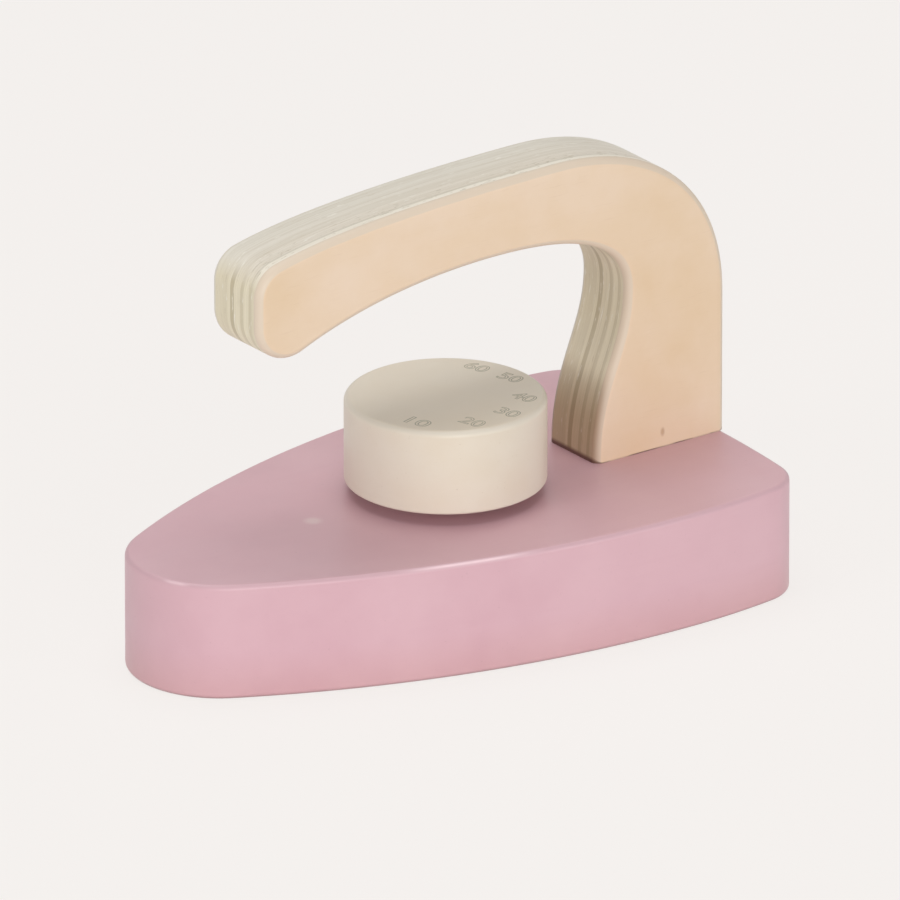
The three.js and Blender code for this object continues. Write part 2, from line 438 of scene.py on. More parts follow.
def handleKnots():
    # each knot is its place, the angle at which the outline passes it, and its arm before and after
    sizes = handleSizes
    up = math.pi / 2
    rise = handleHigh.z - handleLow.z
    rear, foot = handleHigh.x, handleLow.z
    crown = Vector((rear - sizes["crownFromRear"], handleHigh.z))
    arch = Vector((rear - sizes["archFromRear"], crown.y - sizes["archBelowCrown"]))
    throat = Vector((rear - sizes["throatDepth"], foot + sizes["throatShare"] * (arch.y - foot)))
    footFront = Vector((rear - sizes["footDepth"], foot))
    straight = Vector((rear, foot + sizes["rearStraightShare"] * rise))
    noseTop = Vector((handleLow.x + sizes["noseTopRadius"], crown.y - sizes["noseBelowCrown"]))
    noseBottom = Vector((handleLow.x + sizes["noseBottomRadius"], noseTop.y - sizes["noseFlat"]))
    topTurn, bottomTurn = up + sizes["topSlope"], 3 * up + sizes["bottomSlope"]
    topSpan, bottomSpan = up - sizes["topSlope"], bottomTurn - 2 * up
    noseTopEnd = noseTop + towards(topTurn) * sizes["noseTopRadius"]
    noseBottomEnd = noseBottom + towards(bottomTurn) * sizes["noseBottomRadius"]
    noseFront = Vector((handleLow.x, noseTop.y))
    noseBack = Vector((handleLow.x, noseBottom.y))
    topArm = 4 / 3 * math.tan(topSpan / 4) * sizes["noseTopRadius"]
    bottomArm = 4 / 3 * math.tan(bottomSpan / 4) * sizes["noseBottomRadius"]

    def arms(start, end, name):
        return [(end - start).length * share for share in sizes[name]]

    rearArms = arms(straight, crown, "rearShares")
    topArms = arms(crown, noseTopEnd, "topShares")
    underArms = arms(noseBottomEnd, arch, "underShares")
    throatArms = arms(arch, throat, "throatShares")
    legArms = arms(throat, footFront, "legShares")
    drop = Vector((0, -sizes["footRun"]))
    return [
        (Vector((rear, foot)) + drop, up, 0, 0),
        (straight, up, 0, rearArms[0]),
        (crown, 2 * up, rearArms[1], topArms[0]),
        (noseTopEnd, 2 * up + sizes["topSlope"], topArms[1], topArm),
        (noseFront, 3 * up, topArm, 0),
        (noseBack, 3 * up, 0, bottomArm),
        (noseBottomEnd, sizes["bottomSlope"], bottomArm, underArms[0]),
        (arch, 0, underArms[1], throatArms[0]),
        (throat, 3 * up, throatArms[1], legArms[0]),
        (footFront, 3 * up, legArms[1], 0),
        (footFront + drop, 3 * up, 0, 0),
    ]


def makeHandle():
    near, far = handleLow.y, handleHigh.y
    bpy.ops.object.select_all(action="DESELECT")
    bpy.ops.curve.primitive_bezier_curve_add(location=(0, 0, 0))
    handle = bpy.context.object
    handle.name = "ply_handle"
    handle.data.resolution_u = handleSizes["curveSteps"]
    spline = handle.data.splines[0]
    knots = handleKnots()
    spline.bezier_points.add(len(knots) - len(spline.bezier_points))
    spline.use_cyclic_u = True
    for point, (place, angle, before, after) in zip(spline.bezier_points, knots):
        point.handle_left_type = point.handle_right_type = "FREE"
        first, last = place - towards(angle) * before, place + towards(angle) * after
        point.co = (place.x, near, place.y)
        point.handle_left = (first.x, near, first.y)
        point.handle_right = (last.x, near, last.y)
    bpy.ops.object.convert(target="MESH")
    startEdit(handle)
    mergeWithin(handleSizes["mergeWithin"])
    bpy.ops.mesh.edge_face_add()
    extrude((0, far - near, 0))
    faceOutwards()
    endEdit()
    sides = onAny([allAt(1, near), allAt(1, far)])
    bevelEdges(handle, sides, handleSizes["edgeRadius"], handleSizes["edgeSteps"])
    startEdit(handle)
    bpy.ops.mesh.select_all(action="SELECT")
    bpy.ops.mesh.bisect(plane_co=(0, 0, handleLow.z), plane_no=(0, 0, 1), use_fill=True, clear_inner=True,
                        threshold=handleSizes["cutWithin"])
    endEdit()
    for screw in ("handle_screw_front", "handle_screw_rear"):
        low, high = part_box(screw)
        cutRound(handle, boreSizes["pilotRadius"], handleLow.z - boreSizes["overrun"],
                 high.z + boreSizes["tipGap"], (low + high) / 2)
    smooth(handle)
    return handle


handle = makeHandle()
print("handle made:", len(handle.data.polygons), "faces")


# Dial: a turned disc with a rounded top edge and a blind hole for its screw

dialLow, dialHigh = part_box("dial")
dialCentre = (dialLow + dialHigh) / 2
dialSizes = {
    "topRadius": 1.5 * mm,
    "topSteps": 8,
    "bottomRadius": 0.6 * mm,
    "bottomSteps": 4,
    "sides": 192,
    "boreRadius": 2.4 * mm,
    "tipGap": 1 * mm,
}


def makeDial():
    radius = (dialHigh.x - dialLow.x) / 2
    dial = addCylinder("cream_dial", radius, dialLow.z, dialHigh.z, dialCentre, dialSizes["sides"])
    bevelEdges(dial, allAt(2, dialHigh.z), dialSizes["topRadius"], dialSizes["topSteps"])
    bevelEdges(dial, allAt(2, dialLow.z), dialSizes["bottomRadius"], dialSizes["bottomSteps"])
    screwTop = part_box("dial_screw")[1].z
    startEdit(dial)
    pick(dial, "faces", allAt(2, dialLow.z))
    rimWidth = radius - dialSizes["bottomRadius"] - dialSizes["boreRadius"]
    bpy.ops.mesh.inset(thickness=rimWidth, depth=0)
    extrude((0, 0, screwTop + dialSizes["tipGap"] - dialLow.z))
    faceOutwards()
    endEdit()
    smooth(dial)
    return dial


dial = makeDial()
print("dial made:", len(dial.data.polygons), "faces")


# Numbers on the dial, drawn in thin outline. They all read the same way, whatever their place.

numberSizes = {
    "words": ("10", "20", "30", "40", "50", "60"),
    "places": (-146, -106, -74, -42, -2, 30),  # degrees round the dial, counter-clockwise from +X
    "placeRadius": 17.4 * mm,
    "lineTurn": math.radians(-73.7),
    "height": 3.9 * mm,
    "width": 5.8 * mm,
    "strokeRadius": 0.11 * mm,
    "proud": 0.03 * mm,                        # how far the ink stands above the paint
    "fontShare": 1.4,                          # size of the font over the height of its figures
    "curveSteps": 6,
    "mergeWithin": 0.001 * mm,
    "smoothAngle": 40,                         # degrees
}


def makeNumber(word, place):
    sizes = numberSizes
    bpy.ops.object.select_all(action="DESELECT")
    bpy.ops.object.text_add(location=(0, 0, 0))
    number = bpy.context.object
    number.name = "dial_number_" + word
    number.data.body = word
    number.data.size = sizes["height"] * sizes["fontShare"]
    number.data.align_x, number.data.align_y = "CENTER", "CENTER"
    number.data.resolution_u = sizes["curveSteps"]
    number.data.fill_mode = "NONE"
    number.data.bevel_depth = sizes["strokeRadius"]
    number.data.bevel_resolution = 1
    bpy.ops.object.convert(target="MESH")
    corners = [Vector(corner) for corner in number.bound_box]
    low, high = corners[0], corners[6]
    middle = (low + high) / 2
    startEdit(number)
    bpy.ops.mesh.select_all(action="SELECT")
    bpy.ops.transform.translate(value=(-middle.x, -middle.y, 0))
    stretch = (sizes["width"] / (high.x - low.x), sizes["height"] / (high.y - low.y),
               sizes["proud"] / sizes["strokeRadius"])
    bpy.ops.transform.resize(value=stretch, center_override=(0, 0, 0))
    mergeWithin(sizes["mergeWithin"])
    faceOutwards()
    endEdit()
    angle = math.radians(place)
    number.location = (dialCentre.x + sizes["placeRadius"] * math.cos(angle),
                       dialCentre.y + sizes["placeRadius"] * math.sin(angle), dialHigh.z)
    number.rotation_euler.z = sizes["lineTurn"]
    bpy.ops.object.transform_apply(location=True, rotation=True, scale=True)
    bpy.ops.object.shade_smooth_by_angle(angle=math.radians(sizes["smoothAngle"]))
    return number


numbers = [makeNumber(word, place) for word, place in zip(numberSizes["words"], numberSizes["places"])]
print("numbers made:", len(numbers))


# Small turned pieces: a profile is drawn point by point and spun round its own axis

turnSizes = {"startSize": 0.1 * mm, "mergeWithin": 0.005 * mm}


def turnProfile(name, centre, points, sides=64):
    # points are (radius, height), and the profile of a ring ends where it began
    first, *others = [Vector((centre[0] + radius, centre[1], height)) for radius, height in points]
    bpy.ops.object.select_all(action="DESELECT")
    bpy.ops.mesh.primitive_plane_add(size=turnSizes["startSize"], location=first)
    bpy.ops.object.transform_apply(location=True)
    piece = bpy.context.object
    piece.name = name
    startEdit(piece)
    bpy.ops.mesh.merge(type="CENTER")
    last = first
    for point in others:
        extrude(point - last)
        last = point
    bpy.ops.mesh.select_all(action="SELECT")
    bpy.ops.mesh.spin(steps=sides, angle=2 * math.pi, center=(centre[0], centre[1], 0), axis=(0, 0, 1))
    mergeWithin(turnSizes["mergeWithin"])
    faceOutwards()
    endEdit()
    return piece


washerSizes = {
    "spacerBore": 2.6 * mm,
    "spacerRound": 0.35 * mm,
    "thrustBore": 2.6 * mm,
    "thrustRound": 0.15 * mm,
    "steps": 3,
}


def makeRing(name, node, bore, rounding):
    low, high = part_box(node)
    radius = (high.x - low.x) / 2
    centre = (low + high) / 2
    corners = [(bore, low.z), (radius, low.z), (radius, high.z), (bore, high.z), (bore, low.z)]
    ring = turnProfile(name, centre, corners)
    flats = onAny([allAt(2, low.z), allAt(2, high.z)])

    def onRim(edge):
        # an edge of a flat that runs round the axis
        first, last = [(corner.co.xy - centre.xy).length for corner in edge.verts]
        return abs(first - last) < close and flats(edge)

    bevelEdges(ring, onRim, rounding, washerSizes["steps"])
    smooth(ring)
    return ring


spacer = makeRing("nylon_spacer", "dial_spacer", washerSizes["spacerBore"], washerSizes["spacerRound"])
thrustWasher = makeRing("zinc_thrust_washer", "dial_thrust_washer", washerSizes["thrustBore"],
                        washerSizes["thrustRound"])

plugSizes = {"round": 0.35 * mm, "steps": 4, "sides": 96}


def makePlug(name, node):
    low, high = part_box(node)
    plug = addCylinder(name, (high.x - low.x) / 2, low.z, high.z, (low + high) / 2, plugSizes["sides"])
    rims = onAny([allAt(2, low.z), allAt(2, high.z)])
    bevelEdges(plug, rims, plugSizes["round"], plugSizes["steps"])
    smooth(plug)
    return plug


plugs = {node: makePlug("painted_" + node, node)
         for node in ("handle_screw_plug_front", "handle_screw_plug_rear", "dial_screw_plug")}
print("washers and plugs made")


# Wood screws: a pan head with a cross recess, a plain shank, then a thread that ends in a taper

screwSizes = {
    "sides": 56,
    "smoothAngle": 30,               # degrees
    "headRounding": 1.2 * mm,
    "headSteps": 6,
    "shankRadius": 2.25 * mm,
    "coreRadius": 1.7 * mm,
    "crestRadius": 2.25 * mm,
    "tipLength": 5 * mm,
    "tipRadius": 0.5 * mm,
    "pitch": 2 * mm,
    "threadFoot": 1.1 * mm,          # width of the thread where it leaves the core
    "threadSunk": 0.2 * mm,          # how far it reaches into the core
    "threadSteps": 28,
    "recessWidth": 1 * mm,
    "recessSpan": 4.6 * mm,
    "recessDepth": 1.4 * mm,
    "sliver": 0.004 * mm,            # shorter edges than this, left by the cuts, are closed up
}


def makeThread(centre, start, end):
    # a triangle that winds up round the core
    sizes = screwSizes
    foot, crest = sizes["coreRadius"] - sizes["threadSunk"], sizes["crestRadius"]
    half = sizes["threadFoot"] / 2
    bpy.ops.object.select_all(action="DESELECT")
    bpy.ops.mesh.primitive_circle_add(vertices=3, radius=1 * mm, location=(centre[0], centre[1], start))
    thread = bpy.context.object
    shape = thread.data
    for corner, place in zip(shape.vertices, ((foot, 0, -half), (crest, 0, 0), (foot, 0, half))):
        corner.co = place
    applyModifier(thread, "SCREW", axis="Z", angle=2 * math.pi, screw_offset=sizes["pitch"],
                  iterations=int((end - start) / sizes["pitch"]), steps=sizes["threadSteps"],
                  render_steps=sizes["threadSteps"])
    startEdit(thread)
    bpy.ops.mesh.select_all(action="SELECT")
    bpy.ops.mesh.fill_holes(sides=3)
    faceOutwards()
    endEdit()
    bpy.ops.object.transform_apply(location=True)
    return thread


def makeScrew(name, node, threadStart):
    sizes = screwSizes
    low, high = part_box(node)
    centre = (low + high) / 2
    headRadius = (high.x - low.x) / 2
    headTop, taper = low.z + boreSizes["headHeight"], high.z - sizes["tipLength"]
    rounding = sizes["headRounding"]
    head = [(0, low.z)]
    for step in range(sizes["headSteps"] + 1):
        turn = math.pi / 2 * step / sizes["headSteps"]
        head.append((headRadius - rounding * (1 - math.sin(turn)), low.z + rounding * (1 - math.cos(turn))))
    body = [
        (headRadius, headTop),
        (sizes["shankRadius"], headTop),
        (sizes["shankRadius"], threadStart),
        (sizes["coreRadius"], threadStart + sizes["shankRadius"] - sizes["coreRadius"]),
        (sizes["coreRadius"], taper),
        (sizes["tipRadius"], high.z),
        (0, high.z),
    ]
    screw = turnProfile(name, centre, head + body, sizes["sides"])
    thread = makeThread(centre, threadStart + sizes["threadFoot"] / 2, taper)
    applyModifier(screw, "BOOLEAN", object=thread, operation="UNION", solver="EXACT")
    bpy.data.objects.remove(thread)
    span, width = sizes["recessSpan"], sizes["recessWidth"]
    for along, across in ((span, width), (width, span)):
        bpy.ops.object.select_all(action="DESELECT")
        bpy.ops.mesh.primitive_cube_add(size=1, location=(centre.x, centre.y, low.z),
                                        scale=(along, across, 2 * sizes["recessDepth"]))
        cutter = bpy.context.object
        applyModifier(screw, "BOOLEAN", object=cutter, operation="DIFFERENCE", solver="EXACT")
        bpy.data.objects.remove(cutter)
    startEdit(screw)
    mergeWithin(sizes["sliver"])
    bpy.ops.mesh.dissolve_degenerate(threshold=sizes["sliver"])
    endEdit()
    smooth(screw, sizes["smoothAngle"])
    return screw


screws = {
    "handle_screw_front": makeScrew("zinc_handle_screw_front", "handle_screw_front", handleLow.z),
    "handle_screw_rear": makeScrew("zinc_handle_screw_rear", "handle_screw_rear", handleLow.z),
    "dial_screw": makeScrew("zinc_dial_screw", "dial_screw", dialLow.z),
}
print("screws made:", ", ".join(str(len(screw.data.polygons)) for screw in screws.values()))


# Paint: satin, a little uneven, with the wood's grain faintly in it, painted shade on its rounded edges and
# painted highlights on some of them

pinkSizes = {
    "colour": srgb(221, 181, 189),
    "deeper": srgb(212, 168, 178),
    "rim": srgb(207, 169, 177),         # painted shade, deeper where the edges are rounded, that tones down their highlight
    "highlightTone": srgb(246, 216, 221),
    "fleck": srgb(190, 150, 156),
    "roughness": (0.36, 0.5),
    "grain": ((26, 520, 520), 4, 0.6),  # shapes per metre along X, Y and Z, detail and roughness
    "highlightPlaces": (                           # where a highlight is painted on the rims: place, reach, share
        ((-15 * mm, -38 * mm, 27 * mm), 19 * mm, 1.0),
        ((-74 * mm, -9 * mm, 27 * mm), 4 * mm, 0.5),
    ),
    "spots": (                          # and a pale spot on the top
        ((-29 * mm, 1.7 * mm, 27 * mm), 2.8 * mm, 0.7),
    ),
    "paleSpot": srgb(230, 205, 205),
    "low": (0.965, 0.93, 0.89, 1),      # painted shade, warmer and deeper towards the underside
    "lowShadeHeights": (11 * mm, 2 * mm),    # from none to all of it
    "grime": (0.66, 0.54, 0.54, 1),     # painted shade along the lowest edge, and on the underside less
    "grimeHeights": (0.7 * mm, 0.25 * mm),
}
creamSizes = {
    "colour": srgb(231, 223, 208),
    "deeper": srgb(226, 214, 194),
    # painted shade, deeper where the edges are rounded, that tones down their highlight
    "rim": srgb(221, 212, 197),
    "fleck": srgb(200, 186, 162),
    "grain": ((60, 700, 700), 4, 0.6),
    "roughness": (0.36, 0.5),
}
paintSizes = {
    "coat": 0.12,
    "coatRoughness": 0.3,
    # each unevenness as shapes per metre, detail and roughness
    "clouds": (24, 4, 0.55),
    "patches": (130, 3),
    "specks": (1500, 2),
    "peel": (620, 2, 0.4),
    # and where it shows: from this level on, in full from that one on, and how much of it
    "cloudsShow": (0.3, 0.72, 1.0),
    "patchesShow": (0.35, 0.7, 0.35),
    "grainShows": (0.52, 0.78, 0.22),
    "specksShow": (0.7, 0.78, 0.35),
    "roughnessLevels": (0.3, 0.75),
    "grimeOnFlat": 0.3,              # share of the lowest edge's painted shade on the underside
    "peelBump": (0.09, 0.12 * mm),   # strength and height
    "grainBump": (0.16, 0.1 * mm),
}


def edgeShare(material):
    # 1 halfway round a rounded rim and 0 on the flats, found from the surface's own direction
    upwards = surfaceDirection(material)["Z"]
    squared = maths(material, "MULTIPLY", upwards, upwards)
    rest = maths(material, "SUBTRACT", 1.0, squared)
    return maths(material, "MULTIPLY", maths(material, "MULTIPLY", squared, rest), 4.0)


def nearPlace(material, place, centre, reach, share):
    # the whole share up to a quarter of the reach, then falling softly to 0 at the reach
    away = addNode(material, "ShaderNodeVectorMath", {"operation": "DISTANCE"}, s0=place, s1=centre)
    distance = maths(material, "DIVIDE", away.outputs["Value"], reach)
    return ramp(material, distance, [(0.25, share), (1.0, 0.0)], "EASE")


def makePaint(name, look):
    sizes = paintSizes
    material, shader = newMaterial(name, Coat_Weight=sizes["coat"],
                                   Coat_Roughness=sizes["coatRoughness"])
    place = objectCoordinates(material)
    clouds = noise(material, place, *sizes["clouds"])
    patches = noise(material, place, *sizes["patches"])
    grain = noise(material, place, *look["grain"])
    specks = noise(material, place, *sizes["specks"])
    tone = mixColours(material, shown(material, clouds, *sizes["cloudsShow"]), look["deeper"], look["colour"])
    tone = mixColours(material, shown(material, patches, *sizes["patchesShow"]), tone, look["colour"])
    tone = mixColours(material, shown(material, grain, *sizes["grainShows"]), tone, look["deeper"])
    tone = mixColours(material, shown(material, specks, *sizes["specksShow"]), tone, look["fleck"])
    rim = edgeShare(material)
    # painted shade on the rounded rims, deepest halfway round them
    tone = mixColours(material, rim, tone, look["rim"])
    crest = maths(material, "POWER", rim, 3.0)  # the painted highlights keep to the middle of the rounding
    for centre, reach, share in look.get("highlightPlaces", ()):
        paintedHighlight = maths(material, "MULTIPLY", nearPlace(material, place, centre, reach, share), crest)
        tone = mixColours(material, paintedHighlight, tone, look["highlightTone"])
    for centre, reach, share in look.get("spots", ()):
        tone = mixColours(material, nearPlace(material, place, centre, reach, share), tone, look["paleSpot"])
    # painted shade: darker and warmer towards the underside, and darkest along the lowest edge
    if "low" in look:
        height = axesOf(material, place)["Z"]
        lowShade = fade(material, height, *look["lowShadeHeights"])
        tone = mixColours(material, lowShade, tone, look["low"], blend="MULTIPLY")
        # painted shade along the lowest edge
        grime = fade(material, height, *look["grimeHeights"])
        onRim = ramp(material, rim, [(0.0, sizes["grimeOnFlat"]), (0.5, 1.0)])
        grime = maths(material, "MULTIPLY", grime, onRim)
        tone = mixColours(material, grime, tone, look["grime"], blend="MULTIPLY")
    connect(material, tone, shader, "Base Color")
    setRoughness(material, shader, patches, look["roughness"], sizes["roughnessLevels"])
    below = addBump(material, shader, noise(material, place, *sizes["peel"]), *sizes["peelBump"])
    addBump(material, shader, grain, *sizes["grainBump"], below)
    return material


pinkPaint = makePaint("pink_paint_satin", pinkSizes)
creamPaint = makePaint("cream_paint_satin", creamSizes)


# Birch plywood: the face veneer is peach, and the sanded edge shows each ply in a tone of its own

plySizes = {
    # thickness in mm and darkness of each ply, from the near face to the far one, on the nose and on the back
    "plies": (
        (0.25, 0.0, 0.0), (1.6, 0.2, 0.0), (0.9, 0.25, 0.0), (1.0, 0.62, 0.9), (1.9, 0.0, 0.35),
        (1.2, 0.6, 0.2), (2.4, 0.05, 0.45), (1.4, 1.0, 0.25), (0.9, 0.0, 0.5), (2.0, 0.3, 0.3),
        (1.7, 0.25, 0.5), (2.5, 0.2, 0.3), (0.25, 0.0, 0.0),
    ),
    "soft": 0.004,                           # how softly the plies meet, as a share of the board's thickness
    "waver": 0.7 * mm,                       # how far the plies wander along the board
    "face": srgb(238, 215, 191),
    "faceDeep": srgb(230, 202, 167),
    "pale": srgb(238, 228, 202),
    "dark": srgb(201, 188, 158),
    "topNear": srgb(240, 229, 213),
    "topFar": srgb(239, 236, 225),
    "topDark": srgb(216, 207, 189),
    "topLine": srgb(250, 243, 228),
    "topLinePlace": (-5.6 * mm, -6.1 * mm),  # that bright ply, beside the near veneer
    "tear": srgb(188, 176, 152),             # short dark tears along the near edge of the grip's back
    "tearPlace": (-1.5 * mm, -4.5 * mm),
    "rim": srgb(223, 205, 184),              # the ply next to the veneer, bared where the edges are rounded
    "rimFar": srgb(226, 219, 203),
    "rimDepth": (7.0 * mm, 7.3 * mm),        # from the board's middle, from none to all of it
    "streak": srgb(203, 189, 162),
    "fleck": srgb(247, 242, 230),
    "pore": srgb(201, 168, 134),
    "knot": srgb(190, 152, 118),
    "knotPlace": (59.0 * mm, -9 * mm, 30.6 * mm),
    "knotRadius": 0.8 * mm,
    "knotSquash": 0.55,                      # its width as a share of its height
    "knotShare": 0.7,                        # how much of its colour shows
    "legShade": (0.43, 0.28, 0.16, 1),       # painted shade: the leg's front darker and browner towards its foot, where the dial shades it
    "legFront": (32 * mm, 46 * mm),          # where that begins along X
    "legBack": (62 * mm, 56 * mm),           # and where it has ended
    "legHeights": (49.5 * mm, 35 * mm),      # from the least to all of it
    "legLeast": 0.1,
    "veneerDepth": (0.16 * mm, 0.07 * mm),   # the rounding goes through the veneer this far below the face
    "veneerWander": 0.1 * mm,                # how uneven that line is
    "seamShadeHeight": 0.3 * mm,                  # height of the painted contact shade where the foot meets the block's top
    "seamShadeFront": 1.2 * mm,                   # and how much higher it is on the leg's front
    # colour of that painted contact shade
    "seamShade": srgb(104, 70, 60),
    "coat": 0.08,
    "coatRoughness": 0.4,
    "backFaces": (0.25, 0.8),                # how far up a surface faces, from none to all of the back's look
    # each figure as shapes per metre, detail, roughness and distortion
    "waverFigure": (26, 2),
    "mottle": (24, 5, 0.6),
    "figure": ((14, 200, 120), 5, 0.55, 0.6),
    "pores": ((150, 900, 2600), 2, 0.5),
    "streaks": ((34, 2300, 34), 5, 0.7),
    "flecks": ((240, 1500, 240), 3, 0.6),
    "tears": ((420, 2400, 420), 2),
    "wander": (90, 3),
    "patches": (130, 3),
    # and where it shows: from this level on, in full from that one on, and how much of it
    "mottleShows": (0.32, 0.66),
    "figureShows": (0.48, 0.74, 0.3),
    "poresShow": (0.62, 0.76, 0.12),
    "streaksShow": (0.45, 0.75, 0.5),
    "paleFlecks": (0.62, 0.7, 0.8),
    "tearsShow": (0.62, 0.67, 0.8),
    # these go from one share to another, each given as a level and its share
    "darkFlecks": ((0.28, 0.5), (0.36, 0.0)),
    "seamFades": ((0.4, 1.0), (1.0, 0.0)),
    "seamPatches": ((0.4, 0.3), (0.6, 0.9)),
    "roughness": (0.44, 0.58),
    "streakBump": (0.2, 0.12 * mm),          # strength and height
    "poreBump": (0.06, 0.05 * mm),
}


def plyStops(column):
    # one level stretch for each ply, from the near face to the far one
    plies = plySizes["plies"]
    stops, reached, total = [], 0.0, sum(ply[0] for ply in plies)
    for ply in plies:
        start, reached = reached, reached + ply[0] / total
        stops += [(start + plySizes["soft"], ply[column]), (reached - plySizes["soft"], ply[column])]
    return stops


def makePlywood():
    look = plySizes
    material, shader = newMaterial("birch_plywood", Coat_Weight=look["coat"],
                                   Coat_Roughness=look["coatRoughness"])
    place = objectCoordinates(material)
    axes = axesOf(material, place)
    waver = maths(material, "SUBTRACT", noise(material, place, *look["waverFigure"]), 0.5)
    sideways = maths(material, "ADD", axes["Y"], maths(material, "MULTIPLY", waver, look["waver"]))
    across = fade(material, sideways, handleLow.y, handleHigh.y)
    facing = surfaceDirection(material)
    facingEnd = maths(material, "MULTIPLY", facing["X"], facing["X"])
    facingUp = shown(material, facing["Z"], *look["backFaces"])
    depth = maths(material, "ABSOLUTE", sideways)

    # the veneer on the faces: mottled, with a soft figure and fine pores
    mottle = noise(material, place, *look["mottle"])
    mottled = shown(material, mottle, *look["mottleShows"])
    faceTone = mixColours(material, mottled, look["faceDeep"], look["face"])
    figure = noise(material, place, *look["figure"])
    faceTone = mixColours(material, shown(material, figure, *look["figureShows"]), faceTone, look["faceDeep"])
    pores = noise(material, place, *look["pores"])
    faceTone = mixColours(material, shown(material, pores, *look["poresShow"]), faceTone, look["pore"])

    # the sanded edge: plies on the nose and the leg, softer ones on the back, one of them bright
    endTone = mixColours(material, ramp(material, across, plyStops(1)), look["pale"], look["dark"])
    topTone = mixColours(material, across, look["topNear"], look["topFar"])
    topTone = mixColours(material, ramp(material, across, plyStops(2)), topTone, look["topDark"])
    topTone = mixColours(material, fade(material, sideways, *look["topLinePlace"]), topTone, look["topLine"])
    edgeTone = mixColours(material, facingUp, endTone, topTone)
    streaks = noise(material, place, *look["streaks"])
    edgeTone = mixColours(material, shown(material, streaks, *look["streaksShow"]), edgeTone, look["streak"])
    flecks = noise(material, place, *look["flecks"])
    edgeTone = mixColours(material, shown(material, flecks, *look["paleFlecks"]), edgeTone, look["fleck"])
    edgeTone = mixColours(material, ramp(material, flecks, look["darkFlecks"]), edgeTone, look["streak"])
    tears = noise(material, place, *look["tears"])
    tornPlace = maths(material, "MULTIPLY", facingUp, fade(material, sideways, *look["tearPlace"]))
    torn = maths(material, "MULTIPLY", shown(material, tears, *look["tearsShow"]), tornPlace)
    edgeTone = mixColours(material, torn, edgeTone, look["tear"])
    rimTone = mixColours(material, across, look["rim"], look["rimFar"])
    edgeTone = mixColours(material, fade(material, depth, *look["rimDepth"]), edgeTone, rimTone)

    # painted shade: the leg's front darker and browner towards its foot, where the dial shades it
    alongLeg = maths(material, "MULTIPLY", fade(material, axes["X"], *look["legFront"]),
                     fade(material, axes["X"], *look["legBack"]))
    fromTop = fade(material, axes["Z"], *look["legHeights"])
    downLeg = ramp(material, fromTop, [(0.0, look["legLeast"]), (1.0, 1.0)], "EASE")
    paintedLegShade = maths(material, "MULTIPLY", maths(material, "MULTIPLY", alongLeg, facingEnd), downLeg)
    edgeTone = mixColours(material, paintedLegShade, edgeTone, look["legShade"], blend="MULTIPLY")

    # the veneer is sanded through where the edges are rounded, along an uneven line
    wander = maths(material, "SUBTRACT", noise(material, place, *look["wander"]), 0.5)
    uneven = maths(material, "MULTIPLY", wander, look["veneerWander"])
    shallow, whole = [handleHigh.y - step for step in look["veneerDepth"]]
    besides = maths(material, "ADD", maths(material, "ABSOLUTE", axes["Y"]), uneven)
    veneer = fade(material, besides, shallow, whole)
    tone = mixColours(material, veneer, edgeTone, faceTone)
    squash = look["knotSquash"]
    knotPlace = (look["knotPlace"][0], look["knotPlace"][1], look["knotPlace"][2] * squash)
    squashed = stretched(material, place, (1, 1, squash))
    knot = nearPlace(material, squashed, knotPlace, look["knotRadius"], look["knotShare"])
    tone = mixColours(material, knot, tone, look["knot"])

    # painted contact shade along the seam where the foot stands on the block, taller on the leg's front
    above = maths(material, "SUBTRACT", axes["Z"], handleLow.z)
    raised = maths(material, "MULTIPLY", facingEnd, look["seamShadeFront"])
    tall = maths(material, "ADD", raised, look["seamShadeHeight"])
    seam = ramp(material, maths(material, "DIVIDE", above, tall), look["seamFades"])
    patchy = ramp(material, noise(material, place, *look["patches"]), look["seamPatches"])
    patchy = maths(material, "MAXIMUM", patchy, facingEnd)
    tone = mixColours(material, maths(material, "MULTIPLY", seam, patchy), tone, look["seamShade"])
    connect(material, tone, shader, "Base Color")
    setRoughness(material, shader, mottle, look["roughness"])
    onEdge = maths(material, "SUBTRACT", 1.0, veneer)
    below = addBump(material, shader, maths(material, "MULTIPLY", streaks, onEdge), *look["streakBump"])
    addBump(material, shader, pores, *look["poreBump"], below)
    return material


plywood = makePlywood()


# Ink, zinc and nylon

inkSizes = {
    "name": "dial_ink",
    "first": srgb(158, 156, 138),
    "second": srgb(184, 178, 158),   # where it has faded
    "pattern": (420, 4, 0.65),       # shapes per metre, detail and roughness
    "shows": (0.4, 0.68),
    "metallic": 0.0,
    "roughness": (0.5, 0.7),
    "bump": (0.15, 0.02 * mm),       # strength and height
}
zincSizes = {
    "name": "zinc_plated_steel",
    "first": (0.5, 0.51, 0.53, 1),   # where it is duller
    "second": (0.68, 0.69, 0.71, 1),
    "pattern": (260, 4, 0.6),
    "shows": (0.35, 0.65),
    "metallic": 1.0,
    "roughness": (0.24, 0.42),
    "grain": ((400, 400, 9000), 2),  # as turned on a lathe
    "bump": (0.2, 0.03 * mm),
}
nylonSizes = {
    "name": "natural_nylon",
    "first": srgb(216, 212, 202),
    "second": srgb(231, 228, 221),
    "pattern": (180, 4, 0.6),
    "shows": (0.35, 0.65),
    "metallic": 0.0,
    "roughness": (0.36, 0.5),
    "grain": (1600, 2),
    "bump": (0.12, 0.05 * mm),
}


def makeCloudy(look):
    # two tones that meet in clouds, with a fine grain, or the clouds themselves, in the bump
    material, shader = newMaterial(look["name"], Metallic=look["metallic"])
    place = objectCoordinates(material)
    clouds = noise(material, place, *look["pattern"])
    tone = mixColours(material, shown(material, clouds, *look["shows"]), look["first"], look["second"])
    connect(material, tone, shader, "Base Color")
    setRoughness(material, shader, clouds, look["roughness"])
    grain = noise(material, place, *look["grain"]) if "grain" in look else clouds
    addBump(material, shader, grain, *look["bump"])
    return material


dialInk, zinc, nylon = [makeCloudy(look) for look in (inkSizes, zincSizes, nylonSizes)]
print("materials made")


# Each piece gets its finish, the body that it moves with and the CAD node that it stands for

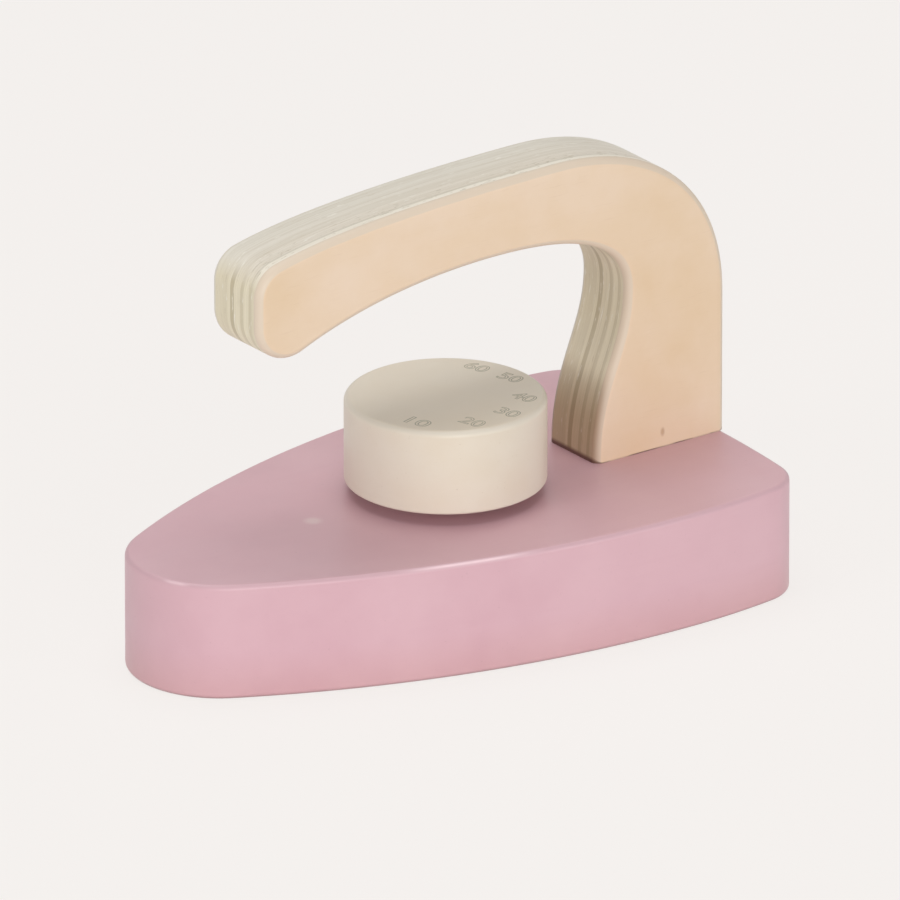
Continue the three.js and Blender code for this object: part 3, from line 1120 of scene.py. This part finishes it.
dress(block, pinkPaint, "pink_paint", "iron", "base_block")
dress(handle, plywood, "plywood", "iron", "handle")
dress(dial, creamPaint, "cream_paint", "dial", "dial")
for number in numbers:
    dress(number, dialInk, "cream_paint", "dial")
dress(spacer, nylon, "nylon", "iron", "dial_spacer")
dress(thrustWasher, zinc, "steel", "iron", "dial_thrust_washer")
for node, plug in plugs.items():
    dress(plug, pinkPaint, "pink_paint", "iron", node)
for node, screw in screws.items():
    dress(screw, zinc, "steel", "dial" if node == "dial_screw" else "iron", node)
print("pieces dressed")


# Studio: a pale floor, an even pale surround and large soft lamps

studioSizes = {
    "paleGround": srgb(244, 240, 237),
    "floorPaper": srgb(240, 239, 238),
    "surroundLevel": 0.22,           # light from all round, where 1 shows a colour as it is written
    "floorSize": 8,
    "floorRoughness": 0.9,
    "floorSpecular": 0.1,
    "floorShade": 0.14,              # share of the floor's own light and shadow that the camera sees
    "floorGlow": 1.045,
    # azimuth from the near side, elevation, level, distance, width, and whether it shows in the paint's gloss
    "lamps": (
        ("left_lamp", -88, 16, 0.235, 1.8, 0.7, False),
        ("front_lamp", -24, 10, 0.355, 1.8, 0.8, True),
        ("right_lamp", 18, 14, 0.2, 1.8, 0.9, True),
        ("top_lamp", 170, 80, 0.475, 1.5, 1.4, True),
    ),
}


def seenDirectly(material):
    # 1 for what the camera sees straight, in a gloss or through glass
    path = addNode(material, "ShaderNodeLightPath").outputs
    mirrored = maths(material, "MAXIMUM", path["Is Glossy Ray"], path["Is Transmission Ray"])
    return maths(material, "MAXIMUM", path["Is Camera Ray"], mirrored)


def makeFloor():
    sizes = studioSizes
    bpy.ops.object.select_all(action="DESELECT")
    bpy.ops.mesh.primitive_plane_add(size=sizes["floorSize"], location=(0, 0, 0))
    floor = bpy.context.object
    floor.name = "studio_floor"
    material, shader = newMaterial("studio_floor_paper", Base_Color=sizes["floorPaper"],
                                   Roughness=sizes["floorRoughness"],
                                   Specular_IOR_Level=sizes["floorSpecular"])
    glow = addNode(material, "ShaderNodeEmission", Color=sizes["paleGround"], Strength=sizes["floorGlow"])
    share = maths(material, "MULTIPLY", seenDirectly(material), 1 - sizes["floorShade"])
    both = addNode(material, "ShaderNodeMixShader", s0=share, s1=shader.outputs[0], s2=glow.outputs[0])
    output = material.node_tree.nodes["Material Output"]
    material.node_tree.links.new(both.outputs[0], output.inputs["Surface"])
    floor.data.materials.append(material)


def makeSurround():
    world = bpy.data.worlds.new("studio_surround")
    world.use_nodes = True
    bpy.context.scene.world = world
    background = world.node_tree.nodes["Background"]
    level = studioSizes["surroundLevel"]
    shown = mixColours(world, seenDirectly(world), (level, level, level, 1), studioSizes["paleGround"])
    world.node_tree.links.new(shown, background.inputs["Color"])


def makeLamps():
    for name, turn, lift, level, distance, width, inGloss in studioSizes["lamps"]:
        towardsLamp = aimedAt(math.radians(turn), math.radians(lift))
        bpy.ops.object.light_add(type="AREA", location=towardsLamp * distance)
        lamp = bpy.context.object
        lamp.name = name
        lamp.rotation_mode = "QUATERNION"
        lamp.rotation_quaternion = towardsLamp.to_track_quat("Z", "Y")
        lamp.data.shape = "DISK"
        lamp.data.size = width
        lamp.data.energy = level * (math.pi * distance) ** 2
        lamp.visible_glossy = inGloss


makeFloor()
makeSurround()
makeLamps()
bpy.context.scene.view_settings.view_transform = "Standard"
print("studio made")
